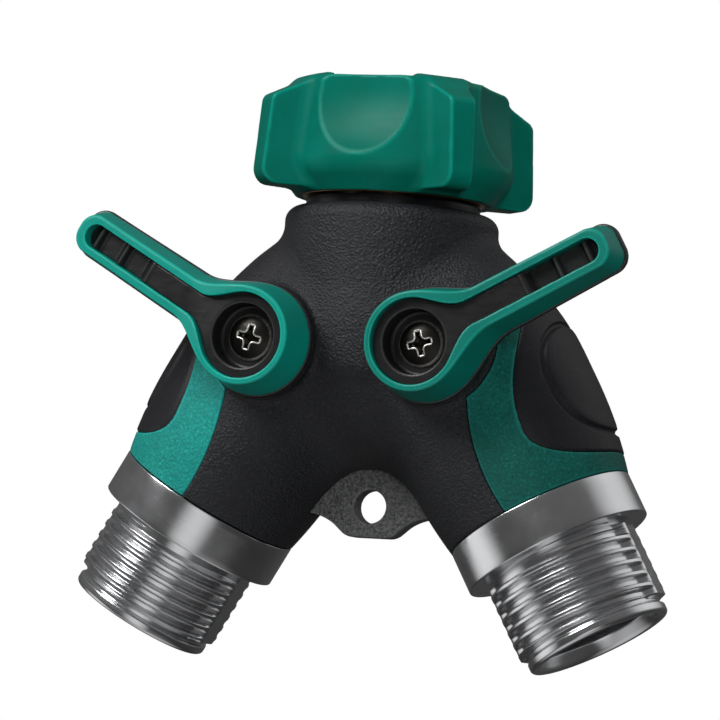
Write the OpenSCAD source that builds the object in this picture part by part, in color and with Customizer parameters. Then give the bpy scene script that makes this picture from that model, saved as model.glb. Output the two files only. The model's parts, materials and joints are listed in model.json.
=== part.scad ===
// Garden hose splitter: a swivel nut inlet and two threaded outlets, each leg with its own
// quarter-turn ball valve. Millimetres, +Z up the inlet axis, levers facing -Y.
// The origin is on the inlet axis, on the innermost turn of the inlet thread.
// Each paired part is drawn for the left leg (-X) and mirrored for the right one.

/* [Layout] */
// Angle between each leg and the inlet axis
leg_angle = 29.5; // [28.5:0.5:30.5]
// Height of the point where the leg axes cross the inlet axis
apex_z = -9.5; // [-10:0.25:-9]
// Distance from that point down a leg to its valve axis
valve_t = 30.8; // [30.5:0.1:31.2]
// Distance down a leg to the top of the outlet collar
collar_t = 60.9; // [60:0.1:62]

/* [Body] */
// Largest outer radius of a leg
leg_max_r = 18.2; // [18:0.1:18.4]
// Outer radius of the neck under the nut
neck_r = 18.4; // [18:0.1:19]
// Radius of the arch between the legs
arch_r = 9.6; // [9:0.1:10.5]
// Radius of the boss under each lever
boss_r = 9.6; // [9.4:0.1:9.6]
// Depth of the recess that the side panels sit in
panel_depth = 1.5; // [1.3:0.1:1.7]

/* [Hanging tab] */
// Thickness of the tab
tab_thickness = 4; // [3.5:0.1:5]
// Radius of the hanging hole
hang_hole_r = 2.85; // [2.5:0.05:3]
// Height of the hanging hole
hang_hole_z = -62.6; // [-62.8:0.1:-62.4]

/* [Outlets] */
// Outer radius of the outlet collar
collar_r = 16.4; // [16.2:0.1:16.6]
// Length of the outlet collar
collar_length = 7.4; // [7:0.1:8]
// Outer radius over the outlet thread, three-quarter inch garden hose thread
male_crest_r = 13.495; // [13.45:0.005:13.52]
// Radius at the bottom of the outlet thread
male_root_r = 12.05; // [12:0.05:12.2]
// Bore of the outlet
outlet_bore_r = 10; // [9.6:0.1:10.2]

/* [Inlet nut] */
// Radius to the crests of the inlet thread
female_crest_r = 12.35; // [12.3:0.01:12.4]
// Radius at the bottom of the inlet thread
female_root_r = 13.62; // [13.55:0.01:13.7]
// Greatest radius of the nut between its lugs
nut_r = 20.4; // [20:0.1:20.8]
// Radius to the faces of the lugs
lug_r = 25.9; // [25.4:0.1:26.2]
// Radius of the nut's tapered body at its top
nut_top_r = 19; // [18.8:0.1:19.4]
// Height of the nut's top face
nut_top = 9.7; // [9.6:0.05:10]
// Height of the nut's underside
nut_bottom = -9.9; // [-9.95:0.05:-9.8]

/* [Valves] */
// Radius of the ball
ball_r = 8.8; // [8.6:0.05:8.8]
// Radius of the bore through the ball
ball_bore_r = 5; // [4.5:0.1:5.2]
// Radius of the stem
stem_r = 3.9; // [3.6:0.1:3.9]

/* [Levers] */
// Distance from the valve axis to the tip of the lever
lever_length = 37.5; // [36:0.1:39]
// Width of the lever arm at its back
arm_width = 9; // [8.8:0.1:9.6]
// Radius of the lever hub at its back
hub_back_r = 9.5; // [9.3:0.1:9.6]
// Radius of the lever hub at its front rim
hub_front_r = 8.3; // [8.1:0.1:8.5]
// Width of the strip set into the arm
strip_width = 4.1; // [3.6:0.1:4.4]

/* [Hidden] */
$fn = 96;
left = -1;
right = 1;
overshoot = 1;

// Clearances
running = 0.05;
skin_gap = 0.05;
panel_gap = 0.04;
lever_gap = 0.3;

// Inlet stack, heights on the inlet axis
rim_z = nut_bottom - 0.35;
rim_r = 15;
neck_top_z = nut_bottom - 1.9;
neck_low_z = neck_top_z - 16;
neck_round = 2.5;
chest_z = -33;
chest_r = 19.4;
tail_r = 10.2;
tail_bore_r = 8.5;
tail_flange_r = 12.2;
tail_flange_z = -5.6;
tail_flange_thickness = 2.2;
tail_end_z = -21.8;
tail_ring_z = -18.2;
tail_groove_r = 12;
ring_groove_width = 2;
inlet_bore_end_z = -27;
washer_thickness = 2.95;
washer_top_z = -0.4;
washer_r = 13.4;
insert_r = 15.5;
insert_rim_r = 15.7;
insert_rim_height = 0.8;
thread_pitch = 2.209;
female_turns = 4;
male_turns = 6;
crest_width = 0.55;
thread_root_width = 1.65;

// Metal body
core_r = 13;
core_socket_r = collar_r - panel_depth - 0.3;
core_neck_r = 14.2;
core_neck_low_z = -34;
core_boss_r = boss_r - 1.6;
core_top_t = 16;
core_top_r = 9.5;
core_full_t = 22;
tab_foot = [4.1, -67.9];
tab_corner = [7.4, -65];
tab_fillet_r = 1.7;
tab_fillet_centre = [9.6, -65.75];

// Legs, distances down a leg axis
core_end_t = collar_t - 0.3;
shell_end_t = collar_t - 0.2;
shoulder_points = [[12, 10.6], [20, 14.6], [28, 17], [36, leg_max_r]];
taper_t = 44;
taper_curve_r = pow(collar_t - taper_t, 2) / (2 * (leg_max_r - collar_r));
chamber_r = 10.6;
seat_reach = 9.3;
chamber_t = valve_t - seat_reach;
seat_length = 3.7;
nose_t = valve_t + seat_reach;
nose_bore_r = 7.5;
socket_t = 44;
socket_r = 13.2;
socket_groove = [11.2, 47, 49.2];
port_r = 6;
port_t = 18.5;
thread_start_t = collar_t + collar_length;
outlet_end_t = thread_start_t + 16.7;
arch_reach = arch_r + leg_max_r - 0.15;
arch_z = apex_z - arch_reach / sin(leg_angle);

// Valve stack, distances in front of a leg axis
tongue_low = 6.7;
tongue_width = 2.9;
tongue_length = 7;
flange_low = 9.2;
flange_high = 11;
stem_flange_r = 5;
stem_washer_high = 11.8;
gland_low = 14.4;
gland_high = 16;
gland_r = 2.6;
boss_high = 19.8;
base_low = boss_high + lever_gap;
base_high = base_low + 1.2;
cup_low = 22.9;
cup_high = 24.1;
screw_high = 25.3;
insert_high = 28.1;
hub_high = 29.5;
arm_high_hub = 28;
arm_high_tip = 26.4;
drive_r = 3.5;
drive_width = 5;
screw_r = 1.65;
screw_low = 14.5;
cup_r = 5.45;
insert_ring_r = 7.25;
strip_low = 24;

function leg_r(t) = t < taper_t ? leg_max_r
    : leg_max_r - pow(t - taper_t, 2) / (2 * taper_curve_r);

// Closed egg-shaped outline: half width, reach to its low and high ends, roundness of each end
function egg(half_width, low, high, low_power, high_power) = [
    for (a = [0 : 12 : 348])
        let (power = sin(a) < 0 ? low_power : high_power, reach = sin(a) < 0 ? low : high)
        [
            half_width * sign(cos(a)) * pow(abs(cos(a)), 2 / power),
            reach * sign(sin(a)) * pow(abs(sin(a)), 2 / power)
        ]
];

// Left leg frame: +Z runs down the leg, +X points outward
module at_leg(side) {
    mirror([side > 0 ? 1 : 0, 0, 0])
        translate([0, 0, apex_z])
            rotate([0, 180 + leg_angle, 0])
                children();
}

// Valve frame: +Z points to the front along the stem, +X along the closed lever
module at_valve(side) {
    at_leg(side)
        translate([0, 0, valve_t])
            rotate([90, 0, 0])
                children();
}

// Extrudes an outline drawn on the (Y, Z) plane along +X
module extrude_outward(length) {
    rotate([90, 0, 90])
        linear_extrude(height = length)
            children();
}

// Extrudes an outline drawn on the (X, Z) plane, centred on Y
module extrude_across(width) {
    rotate([90, 0, 0])
        linear_extrude(height = width, center = true)
            children();
}

// ---- Body skins ----

// Solid leg from the shoulder to the collar, sunk by an inset
module leg_skin(inset) {
    steps = [taper_t, for (k = [1 : 4]) taper_t + (shell_end_t - taper_t) * k / 4];
    rotate_extrude()
        polygon([
            [0, 12],
            for (p = shoulder_points) [p[1] - inset, p[0]],
            for (t = steps) [leg_r(t) - inset, t],
            [0, shell_end_t]
        ]);
}

module neck_skin() {
    rotate_extrude()
        polygon([
            [0, neck_low_z],
            [neck_r, neck_low_z],
            for (a = [0 : 22.5 : 90])
                [neck_r - neck_round * (1 - cos(a)), neck_top_z - neck_round * (1 - sin(a))],
            [0, neck_top_z]
        ]);
}

// Bend that joins the two legs over the arch
module saddle_skin() {
    sweep = 90 - leg_angle;
    translate([0, 0, arch_z])
        rotate([90, 0, 0])
            rotate([0, 0, 90 - sweep])
                rotate_extrude(angle = 2 * sweep)
                    translate([arch_reach, 0])
                        circle(r = arch_reach - arch_r - 1.1);
}

module body_skin() {
    neck_skin();
    saddle_skin();
    translate([0, 0, chest_z])
        sphere(r = chest_r);
    for (side = [left, right]) {
        at_leg(side) leg_skin(0);
        at_valve(side) cylinder(r = boss_r, h = boss_high);
    }
}

// ---- Metal body ----

module core_leg(grow) {
    rotate_extrude()
        polygon([
            [0, core_top_t - grow],
            [core_top_r + grow, core_top_t - grow],
            [core_r + grow, core_full_t],
            [core_r + grow, socket_t - 2],
            [core_socket_r + grow, socket_t],
            [core_socket_r + grow, core_end_t + (grow > 0 ? overshoot : 0)],
            [0, core_end_t + (grow > 0 ? overshoot : 0)]
        ]);
}

module tab_outline(grow) {
    half = [
        [tab_foot[0] + grow, tab_foot[1] - grow],
        [tab_corner[0] + grow, tab_corner[1] - grow],
        for (a = [-40 : 20 : 40])
            [
                tab_fillet_centre[0] + grow + tab_fillet_r * sin(a),
                tab_fillet_centre[1] - grow + tab_fillet_r * cos(a)
            ],
        [13, -62],
        [13, -50],
        [6, -34]
    ];
    polygon([
        for (p = half) p,
        for (k = [len(half) - 1 : -1 : 0]) [-half[k][0], half[k][1]]
    ]);
}

module core_envelope(grow) {
    translate([0, 0, core_neck_low_z])
        cylinder(r = core_neck_r + grow, h = neck_top_z - 0.5 - core_neck_low_z);
    translate([0, 0, neck_top_z - 1])
        cylinder(r = rim_r + grow, h = rim_z - neck_top_z + 1);
    for (side = [left, right]) {
        at_leg(side) core_leg(grow);
        at_valve(side)
            cylinder(r = core_boss_r + grow, h = boss_high + (grow > 0 ? overshoot : 0));
    }
    extrude_across(tab_thickness + 2 * grow) tab_outline(grow);
}

module core_passages(side) {
    at_leg(side) {
        translate([0, 0, port_t])
            cylinder(r = port_r, h = chamber_t);
        translate([0, 0, chamber_t])
            cylinder(r = chamber_r, h = core_end_t);
        translate([0, 0, socket_t])
            cylinder(r = socket_r, h = core_end_t);
    }
    at_valve(side) {
        cylinder(r = stem_r + running, h = boss_high + overshoot);
        cylinder(r = stem_flange_r + running, h = stem_washer_high);
    }
}

module manifold_core() {
    color("#2b2d2f")
        difference() {
            core_envelope(0);
            translate([0, 0, tail_end_z])
                cylinder(r = tail_r, h = rim_z - tail_end_z + overshoot);
            translate([0, 0, inlet_bore_end_z])
                cylinder(r = tail_bore_r, h = tail_end_z - inlet_bore_end_z + overshoot);
            translate([0, 0, tail_ring_z - ring_groove_width / 2])
                cylinder(r = tail_groove_r, h = ring_groove_width);
            for (side = [left, right]) core_passages(side);
            translate([0, 0, hang_hole_z])
                rotate([90, 0, 0])
                    cylinder(r = hang_hole_r, h = tab_thickness + 2 * overshoot, center = true);
        }
}

// ---- Soft grip ----

// Space of one side panel: right of a curved edge, inside an egg seen from the side,
// clear of the boss and outside the floor of the recess
module panel_space(side, gap) {
    edge_w = -1.6;
    edge_curve_r = 36;
    edge_low_t = collar_t - 5;
    top_t = 20;
    centre_t = 45;
    half_width = 19;
    egg_top = 20;
    egg_foot = 30;
    boss_clearance = 0.25;
    edge_points = [
        for (k = [0 : 12])
            let (t = top_t + (shell_end_t + overshoot - top_t) * k / 12)
            [edge_w + gap + pow(t - edge_low_t, 2) / (2 * edge_curve_r), t]
    ];
    difference() {
        intersection() {
            at_leg(side)
                extrude_across(60)
                    polygon([
                        for (p = edge_points) p,
                        [30, shell_end_t + overshoot],
                        [30, top_t]
                    ]);
            at_leg(side)
                extrude_outward(30)
                    translate([0, centre_t])
                        polygon(egg(half_width - gap, egg_top - gap, egg_foot, 2, 8));
        }
        at_valve(side)
            cylinder(r = boss_r + boss_clearance + gap, h = 2 * boss_high, center = true);
        at_leg(side) leg_skin(panel_depth - gap);
    }
}

// Space of one thumb pad: a flat-footed egg seen from the side, down to an inset from the skin
module pad_space(side, gap, low_inset) {
    centre_t = 48;
    half_width = 16.2;
    egg_top = 20.7;
    egg_foot = 9.6;
    difference() {
        at_leg(side)
            extrude_outward(30)
                translate([0, centre_t])
                    polygon(egg(half_width - gap, egg_top - gap, egg_foot - gap, 2, 3));
        at_leg(side) leg_skin(low_inset);
    }
}

module grip_shell() {
    color("#232427")
        difference() {
            body_skin();
            core_envelope(skin_gap);
            for (side = [left, right]) panel_space(side, 0);
        }
}

module side_panel(side) {
    color(side == left ? "#1ea68f" : "#0b6b55")
        difference() {
            intersection() {
                panel_space(side, panel_gap);
                at_leg(side) leg_skin(0);
            }
            pad_space(side, 0, panel_depth * 0.6);
        }
}

module thumb_pad(side) {
    proud = 0.25;
    groove_t = 44;
    groove_half_width = 11.9;
    groove_reach = 10.2;
    groove_width = 0.9;
    groove_depth = 0.4;
    groove_power = 2.5;
    inner_half_width = groove_half_width - groove_width;
    inner_reach = groove_reach - groove_width;
    color("#1b1c1f")
        difference() {
            intersection() {
                pad_space(side, panel_gap, panel_depth * 0.6 - panel_gap);
                at_leg(side) leg_skin(-proud);
            }
            difference() {
                at_leg(side)
                    extrude_outward(30)
                        translate([0, groove_t])
                            difference() {
                                polygon(egg(groove_half_width, groove_reach, groove_reach,
                                    groove_power, groove_power));
                                polygon(egg(inner_half_width, inner_reach, inner_reach,
                                    groove_power, groove_power));
                            }
                at_leg(side) leg_skin(groove_depth);
            }
        }
}

// ---- Inlet ----

module inlet_tailpiece() {
    color("#b9bcc0")
        difference() {
            union() {
                translate([0, 0, tail_end_z])
                    cylinder(r = tail_r, h = tail_flange_z - tail_end_z);
                translate([0, 0, tail_flange_z])
                    cylinder(r = tail_flange_r, h = tail_flange_thickness);
            }
            translate([0, 0, tail_end_z - overshoot])
                cylinder(r = tail_bore_r, h = 30);
        }
}

// A round ring of round section, lying flat on its own axis
module o_ring(centre_r, section_r) {
    color("#101010")
        rotate_extrude()
            translate([centre_r, 0])
                circle(r = section_r, $fn = 32);
}

module tailpiece_o_ring() {
    section_r = 0.88;
    translate([0, 0, tail_ring_z])
        o_ring(tail_r + section_r + 0.02, section_r);
}

module outlet_o_ring(side) {
    section_r = 0.98;
    at_leg(side)
        translate([0, 0, (socket_groove[1] + socket_groove[2]) / 2])
            o_ring(socket_groove[0] + section_r + 0.02, section_r);
}

module inlet_washer() {
    color("#151515")
        translate([0, 0, washer_top_z - washer_thickness])
            difference() {
                cylinder(r = washer_r, h = washer_thickness);
                translate([0, 0, -overshoot])
                    cylinder(r = tail_bore_r + 0.3, h = washer_thickness + 2 * overshoot);
            }
}

// Ribs that key the metal sleeve into the nut
module insert_ribs() {
    rib_count = 12;
    rib_width = 1.6;
    rib_proud = 0.5;
    rib_length = 13;
    for (k = [0 : rib_count - 1])
        rotate([0, 0, (k + 0.5) * 360 / rib_count])
            translate([insert_r - 1, -rib_width / 2, nut_bottom + 3])
                cube([1 + rib_proud, rib_width, rib_length]);
}

// Inlet thread: a ring of flat-topped ridges, one per turn
module nut_thread_insert() {
    lip_top = tail_flange_z - 0.15;
    floor_z = nut_bottom - 0.25;
    top_z = nut_top - 0.5;
    ridge_half = thread_root_width / 2;
    color("#b08a4a") {
        rotate_extrude()
            polygon([
                [tail_r + running, floor_z],
                [insert_rim_r, floor_z],
                [insert_rim_r, nut_bottom + insert_rim_height],
                [insert_r, nut_bottom + insert_rim_height],
                [insert_r, top_z],
                [female_root_r + 0.7, top_z],
                [female_root_r, top_z - 0.7],
                for (k = [female_turns - 1 : -1 : 0])
                    each [
                        [female_root_r, k * thread_pitch + ridge_half],
                        [female_crest_r, k * thread_pitch + crest_width / 2],
                        [female_crest_r, k * thread_pitch - crest_width / 2],
                        [female_root_r, k * thread_pitch - ridge_half + (k == 0 ? 0.45 : 0)]
                    ],
                [female_root_r, lip_top],
                [tail_r + running, lip_top]
            ]);
        insert_ribs();
    }
}

module nut_lug() {
    face_half = 2.5;
    root_half = 5.2;
    intersection() {
        translate([0, 0, nut_bottom])
            linear_extrude(height = 30)
                polygon([
                    [14, -root_half - 1.5], [nut_r - 1, -root_half], [nut_r + 1.6, -face_half - 1],
                    [lug_r - 0.6, -face_half - 0.2], [lug_r, -face_half + 0.4],
                    [lug_r, face_half - 0.4], [lug_r - 0.6, face_half + 0.2],
                    [nut_r + 1.6, face_half + 1], [nut_r - 1, root_half], [14, root_half + 1.5]
                ]);
        extrude_across(30)
            polygon([
                [14, nut_bottom + 0.6], [lug_r - 3.2, nut_bottom + 0.6],
                [lug_r - 1.2, nut_bottom + 1.4], [lug_r, nut_bottom + 3.4],
                [lug_r - 0.9, 5], [lug_r - 1.7, 6], [nut_top_r - 0.2, 8.3], [14, 8.3]
            ]);
    }
}

// Bulging cutter of one finger scallop: a ring of round section with its axis upright
module nut_scallop() {
    across_r = 50;
    upright_r = 21.5;
    depth = 3.8;
    top_z = 8;
    translate([nut_r - depth + across_r, 0, top_z])
        rotate_extrude()
            translate([across_r - upright_r, 0])
                circle(r = upright_r);
}

module nut_grip() {
    color("#0a7a62")
        difference() {
            union() {
                difference() {
                    rotate_extrude()
                        polygon([
                            [insert_rim_r, nut_bottom], [17, nut_bottom],
                            [nut_r, nut_bottom + 4], [nut_top_r, nut_top - 1.5],
                            [nut_top_r - 0.4, nut_top - 0.5], [nut_top_r - 1.4, nut_top],
                            [13.5, nut_top], [13.5, nut_bottom + 2]
                        ]);
                    for (k = [0 : 3]) rotate([0, 0, 90 * k]) nut_scallop();
                }
                for (k = [0 : 3]) rotate([0, 0, 45 + 90 * k]) nut_lug();
            }
            translate([0, 0, nut_bottom - overshoot])
                cylinder(r = insert_r, h = 20 + nut_top);
            translate([0, 0, nut_bottom - overshoot])
                cylinder(r = insert_rim_r, h = overshoot + insert_rim_height);
            insert_ribs();
        }
}

// ---- Outlets ----

// The thread is plain rings, broken on two sides by a flat casting land
module outlet_fitting(side) {
    nose_r = chamber_r - 0.05;
    last_crest_t = thread_start_t + 2.3 + (male_turns - 1) * thread_pitch;
    ridge_half = thread_root_width / 2;
    flat_half = 13.24;
    land_width = 5.2;
    land_thickness = 1.6;
    land_length = last_crest_t + 2.2 - thread_start_t;
    land_mid_t = (thread_start_t + last_crest_t + 3) / 2;
    color("#c9cbce")
        at_leg(side)
            difference() {
                union() {
                    rotate_extrude()
                        polygon([
                            [nose_bore_r, nose_t], [nose_r, nose_t],
                            [nose_r, socket_t], [socket_r, socket_t],
                            [socket_r, socket_groove[1]], [socket_groove[0], socket_groove[1]],
                            [socket_groove[0], socket_groove[2]], [socket_r, socket_groove[2]],
                            [socket_r, collar_t], [collar_r - 0.3, collar_t],
                            [collar_r, collar_t + 0.3], [collar_r, thread_start_t - 1.2],
                            [collar_r - 0.4, thread_start_t - 0.4], [collar_r - 1.2, thread_start_t],
                            [male_root_r, thread_start_t],
                            for (k = [0 : male_turns - 1])
                                let (t = thread_start_t + 2.3 + k * thread_pitch)
                                each [
                                    [male_root_r, t - ridge_half], [male_crest_r, t - crest_width / 2],
                                    [male_crest_r, t + crest_width / 2],
                                    [male_root_r + (k == male_turns - 1 ? 0.5 : 0),
                                        t + ridge_half - (k == male_turns - 1 ? 0.3 : 0)]
                                ],
                            [male_root_r + 0.5, outlet_end_t - 0.5], [male_root_r, outlet_end_t],
                            [11, outlet_end_t], [outlet_bore_r, outlet_end_t - 1],
                            [outlet_bore_r, 50], [nose_bore_r, 46]
                        ]);
                    for (s = [-1, 1])
                        translate([s * (flat_half - land_thickness / 2), 0, land_mid_t])
                            cube([land_thickness, land_width, land_length], center = true);
                }
                for (s = [-1, 1])
                    translate([s * (flat_half + 5), 0, land_mid_t])
                        cube([10, 30, land_length], center = true);
            }
}

// ---- Valves ----

// Sealing ring on the inner (-1) or outer (+1) side of the ball
module ball_seat(side, end) {
    color("#e8e6df")
        at_leg(side)
            translate([0, 0, valve_t])
                difference() {
                    mirror([0, 0, end < 0 ? 1 : 0])
                        translate([0, 0, seat_reach - seat_length])
                            cylinder(r = chamber_r, h = seat_length);
                    cylinder(r = ball_bore_r + 0.2, h = 40, center = true);
                    sphere(r = ball_r + 0.03);
                }
}

module valve_ball(side) {
    color("#d8d9dc")
        at_valve(side)
            difference() {
                sphere(r = ball_r);
                rotate([0, 90, 0])
                    cylinder(r = ball_bore_r, h = 30, center = true);
                translate([-ball_r, -tongue_width / 2 - running, tongue_low])
                    cube([2 * ball_r, tongue_width + 2 * running, ball_r - tongue_low + overshoot]);
            }
}

// Round shank with two flats, the shape that drives the lever
module double_flat(low, high) {
    intersection() {
        translate([0, 0, low])
            cylinder(r = drive_r, h = high - low);
        translate([-10, -drive_width / 2, low])
            cube([20, drive_width, high - low]);
    }
}

module valve_stem(side) {
    color("#b9a262")
        at_valve(side)
            difference() {
                union() {
                    translate([-tongue_length / 2, -tongue_width / 2, tongue_low + 0.1])
                        cube([tongue_length, tongue_width, flange_low - tongue_low]);
                    translate([0, 0, flange_low])
                        cylinder(r = stem_flange_r, h = flange_high - flange_low);
                    translate([0, 0, flange_high - 0.1])
                        cylinder(r = stem_r, h = gland_low - flange_high + 0.1);
                    translate([0, 0, gland_low - 0.1])
                        cylinder(r = gland_r, h = gland_high - gland_low + 0.2);
                    translate([0, 0, gland_high])
                        cylinder(r = stem_r, h = base_low - gland_high);
                    double_flat(base_low - 0.1, cup_low);
                }
                translate([0, 0, screw_low - 0.5])
                    cylinder(r = screw_r, h = 20);
            }
}

module stem_washer(side) {
    color("#f2f0ea")
        at_valve(side)
            translate([0, 0, flange_high])
                difference() {
                    cylinder(r = stem_flange_r, h = stem_washer_high - flange_high - 0.05);
                    translate([0, 0, -overshoot])
                        cylinder(r = stem_r + 0.02, h = 4);
                }
}

module stem_o_ring(side) {
    section_r = (stem_r - gland_r) / 2;
    at_valve(side)
        translate([0, 0, (gland_low + gland_high) / 2])
            o_ring(gland_r + section_r, section_r - 0.02);
}

// Arm prism between two heights, leaning back towards the tip, with straight gussets to the hub
module lever_arm(low, high_hub, high_tip, width_low, width_high, tip_low, tip_high) {
    corner = 2.6;
    hull() {
        for (s = [-1, 1]) {
            translate([tip_low - corner, s * (width_low / 2 - corner), low])
                cylinder(r = corner, h = 0.05, $fn = 32);
            translate([tip_high - corner, s * (width_high / 2 - corner), high_tip - 0.05])
                cylinder(r = corner, h = 0.05, $fn = 32);
        }
        translate([0, -width_low / 2, low])
            cube([1, width_low, 0.05]);
        translate([0, -width_high / 2, high_hub - 0.05])
            cube([1, width_high, 0.05]);
    }
    hull() {
        translate([4, -hub_back_r * 0.82, low])
            cube([1, hub_back_r * 1.64, 0.05]);
        translate([14, -width_low / 2, low])
            cube([1, width_low, 0.05]);
        translate([4, -hub_front_r * 0.74, high_hub - 0.3])
            cube([1, hub_front_r * 1.48, 0.05]);
        translate([12.5, -width_high / 2, high_hub - 0.3])
            cube([1, width_high, 0.05]);
    }
}

// Flat plate with the outline of the lever's back
module lever_plate(low, high, hub_r, width, tip) {
    corner = 3;
    translate([0, 0, low]) {
        cylinder(r = hub_r, h = high - low);
        linear_extrude(height = high - low)
            polygon([
                [3, -hub_r * 0.84], [14, -width / 2], [tip - corner, -width / 2],
                for (a = [-75 : 15 : -15])
                    [tip - corner + corner * cos(a), -width / 2 + corner + corner * sin(a)],
                [tip, -width / 2 + corner], [tip, width / 2 - corner],
                for (a = [15 : 15 : 75])
                    [tip - corner + corner * cos(a), width / 2 - corner + corner * sin(a)],
                [tip - corner, width / 2], [14, width / 2], [3, hub_r * 0.84]
            ]);
    }
}

module lever_base(side) {
    color("#141416")
        at_valve(side)
            difference() {
                lever_plate(base_low, base_high, hub_back_r + 0.2, arm_width + 0.3, lever_length);
                double_flat(base_low - overshoot, base_high + overshoot);
            }
}

module insert_outline(gap) {
    tip = lever_length - 2.9;
    ring = insert_ring_r + gap;
    half = strip_width / 2 + gap;
    polygon([
        [0, -ring * 0.8], [5, -ring * 0.6], [10, -half],
        for (a = [-90 : 15 : 90]) [tip - half + half * cos(a), half * sin(a)],
        [10, half], [5, ring * 0.6], [0, ring * 0.8]
    ]);
    circle(r = ring);
}

module lever_shell(side) {
    color(side == left ? "#22ab95" : "#0d7a61")
        at_valve(side)
            difference() {
                union() {
                    translate([0, 0, base_high])
                        cylinder(r1 = hub_back_r, r2 = hub_front_r, h = hub_high - base_high);
                    lever_arm(base_high, arm_high_hub, arm_high_tip, arm_width, arm_width - 2.4,
                        lever_length - 0.5, lever_length - 1.7);
                }
                double_flat(base_high - overshoot, cup_low + overshoot);
                translate([0, 0, cup_low])
                    cylinder(r = insert_ring_r, h = 20);
                translate([0, 0, strip_low])
                    linear_extrude(height = 10)
                        insert_outline(0);
            }
}

// Black cup and ribbed strip set into the lever
module lever_insert(side) {
    strip_high_hub = arm_high_hub - 0.7;
    strip_high_tip = arm_high_tip - 0.7;
    rib_first = 20.5;
    rib_step = 5.5;
    rib_width = 1.4;
    pocket_floor = 25;
    color("#17181a")
        at_valve(side)
            difference() {
                union() {
                    translate([0, 0, cup_low])
                        cylinder(r = insert_ring_r, h = insert_high - cup_low);
                    intersection() {
                        translate([0, 0, strip_low])
                            linear_extrude(height = 10)
                                insert_outline(0);
                        extrude_across(20)
                            polygon([
                                [-20, strip_low - overshoot], [lever_length, strip_low - overshoot],
                                [lever_length, strip_high_tip], [8, strip_high_hub],
                                [-20, strip_high_hub]
                            ]);
                    }
                }
                translate([0, 0, cup_high])
                    cylinder(r = cup_r, h = 20);
                translate([0, 0, cup_low - overshoot])
                    cylinder(r = screw_r, h = 20);
                for (k = [0 : 2])
                    translate([rib_first + rib_width + k * rib_step, -strip_width, pocket_floor])
                        cube([rib_step - rib_width, 2 * strip_width, 10]);
            }
}

// Cross-recess screw that holds the lever on its stem
module lever_screw(side) {
    head_r = 4;
    slot_length = 4.4;
    slot_width = 1.1;
    color("#3a3a3c")
        at_valve(side)
            difference() {
                union() {
                    translate([0, 0, cup_high])
                        cylinder(r1 = head_r, r2 = head_r - 0.7, h = screw_high - cup_high);
                    translate([0, 0, screw_low])
                        cylinder(r = screw_r, h = cup_high + 0.1 - screw_low);
                }
                for (turn = [0, 90])
                    rotate([0, 0, turn + 15])
                        translate([0, 0, screw_high])
                            cube([slot_length, slot_width, 2.2], center = true);
            }
}

manifold_core();
grip_shell();
side_panel(left);  // side_panel_left
side_panel(right);  // side_panel_right
thumb_pad(left);  // thumb_pad_left
thumb_pad(right);  // thumb_pad_right
inlet_tailpiece();
tailpiece_o_ring();
outlet_fitting(left);  // outlet_fitting_left
outlet_fitting(right);  // outlet_fitting_right
outlet_o_ring(left);  // outlet_o_ring_left
outlet_o_ring(right);  // outlet_o_ring_right
ball_seat(left, -1);  // ball_seat_inner_left
ball_seat(right, -1);  // ball_seat_inner_right
ball_seat(left, 1);  // ball_seat_outer_left
ball_seat(right, 1);  // ball_seat_outer_right
nut_grip();
nut_thread_insert();
inlet_washer();
valve_ball(left);  // valve_ball_left
valve_ball(right);  // valve_ball_right
valve_stem(left);  // valve_stem_left
valve_stem(right);  // valve_stem_right
stem_washer(left);  // stem_washer_left
stem_washer(right);  // stem_washer_right
stem_o_ring(left);  // stem_o_ring_left
stem_o_ring(right);  // stem_o_ring_right
lever_base(left);  // lever_base_left
lever_base(right);  // lever_base_right
lever_shell(left);  // lever_shell_left
lever_shell(right);  // lever_shell_right
lever_insert(left);  // lever_insert_left
lever_insert(right);  // lever_insert_right
lever_screw(left);  // lever_screw_left
lever_screw(right);  // lever_screw_right
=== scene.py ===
"""Looks of the garden hose splitter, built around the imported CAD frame.

Shapes are worked out in millimetres, in the row frame or in a local frame of it, and become
Blender meshes in metres. Organic and moulded pieces are distance fields turned into meshes by
surface nets, and turned pieces are revolved profiles with real helical threads.
"""

import math

import bpy
import numpy as np
from mathutils import Matrix, Quaternion, Vector
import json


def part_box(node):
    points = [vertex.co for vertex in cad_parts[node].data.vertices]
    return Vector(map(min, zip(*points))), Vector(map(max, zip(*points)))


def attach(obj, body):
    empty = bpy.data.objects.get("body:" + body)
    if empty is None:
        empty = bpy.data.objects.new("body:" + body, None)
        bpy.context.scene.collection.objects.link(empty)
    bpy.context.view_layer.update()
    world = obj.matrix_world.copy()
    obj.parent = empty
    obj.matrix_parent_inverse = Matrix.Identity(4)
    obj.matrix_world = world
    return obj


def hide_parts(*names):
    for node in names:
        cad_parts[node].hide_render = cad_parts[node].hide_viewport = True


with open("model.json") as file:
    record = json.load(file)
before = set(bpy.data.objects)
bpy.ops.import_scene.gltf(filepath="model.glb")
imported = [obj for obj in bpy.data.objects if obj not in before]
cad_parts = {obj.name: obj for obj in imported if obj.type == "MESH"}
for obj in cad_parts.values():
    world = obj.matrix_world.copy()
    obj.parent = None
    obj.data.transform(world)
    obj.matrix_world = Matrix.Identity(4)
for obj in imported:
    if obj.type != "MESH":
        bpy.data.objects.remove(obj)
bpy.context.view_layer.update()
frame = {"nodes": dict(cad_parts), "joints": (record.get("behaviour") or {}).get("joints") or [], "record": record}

MM = 0.001
COARSE = 1.0
SIDES = (("left", -1), ("right", 1))

# ---- Driving dimensions, mm, as in the CAD ----

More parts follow.
